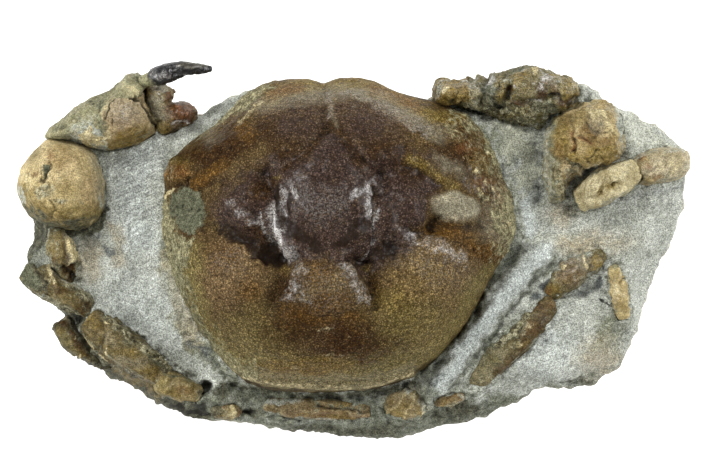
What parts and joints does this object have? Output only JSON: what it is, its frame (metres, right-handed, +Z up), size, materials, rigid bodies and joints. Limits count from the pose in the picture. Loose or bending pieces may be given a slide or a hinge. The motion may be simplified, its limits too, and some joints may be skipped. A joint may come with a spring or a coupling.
{
  "type": "fossil crab",
  "caption": "Fossil crab lying back up in its piece of grey siltstone, with a domed brown shell, claws and broken legs.",
  "frame": {"origin": "on the resting face, under the middle of the whole piece", "axes": "+Z up out of the crab's back, +Y towards the crab's front, +X towards the crab's right side"},
  "size_m": [0.1347, 0.0751, 0.0466],
  "materials": {
    "siltstone": "matte",
    "brown_shell": "semi-gloss",
    "tan_shell": "satin",
    "olive_shell": "satin",
    "cream_shell": "satin",
    "crushed_shell": "semi-gloss",
    "black_shell": "gloss"
  },
  "bodies": {
    "root": {"stone": "siltstone", "carapace": "brown_shell", "left_wrist": "tan_shell", "left_palm": "tan_shell", "left_fixed_finger": "brown_shell", "left_moving_finger": "black_shell", "left_leg_front_joint": "olive_shell", "left_leg_front_shaft": "olive_shell", "left_leg_rear_shaft": "olive_shell", "left_leg_rear_joint": "tan_shell", "left_leg_edge_plate": "olive_shell", "hind_knob": "tan_shell", "hind_left_shaft": "olive_shell", "hind_right_knuckle": "tan_shell", "right_leg_rear_strip": "olive_shell", "right_leg_rear_shaft": "olive_shell", "right_leg_rear_joint": "olive_shell", "right_leg_tip": "cream_shell", "right_wrist": "tan_shell", "right_claw": "crushed_shell", "right_leg_white": "cream_shell", "right_leg_tan": "tan_shell"}
  },
  "joints": []
}
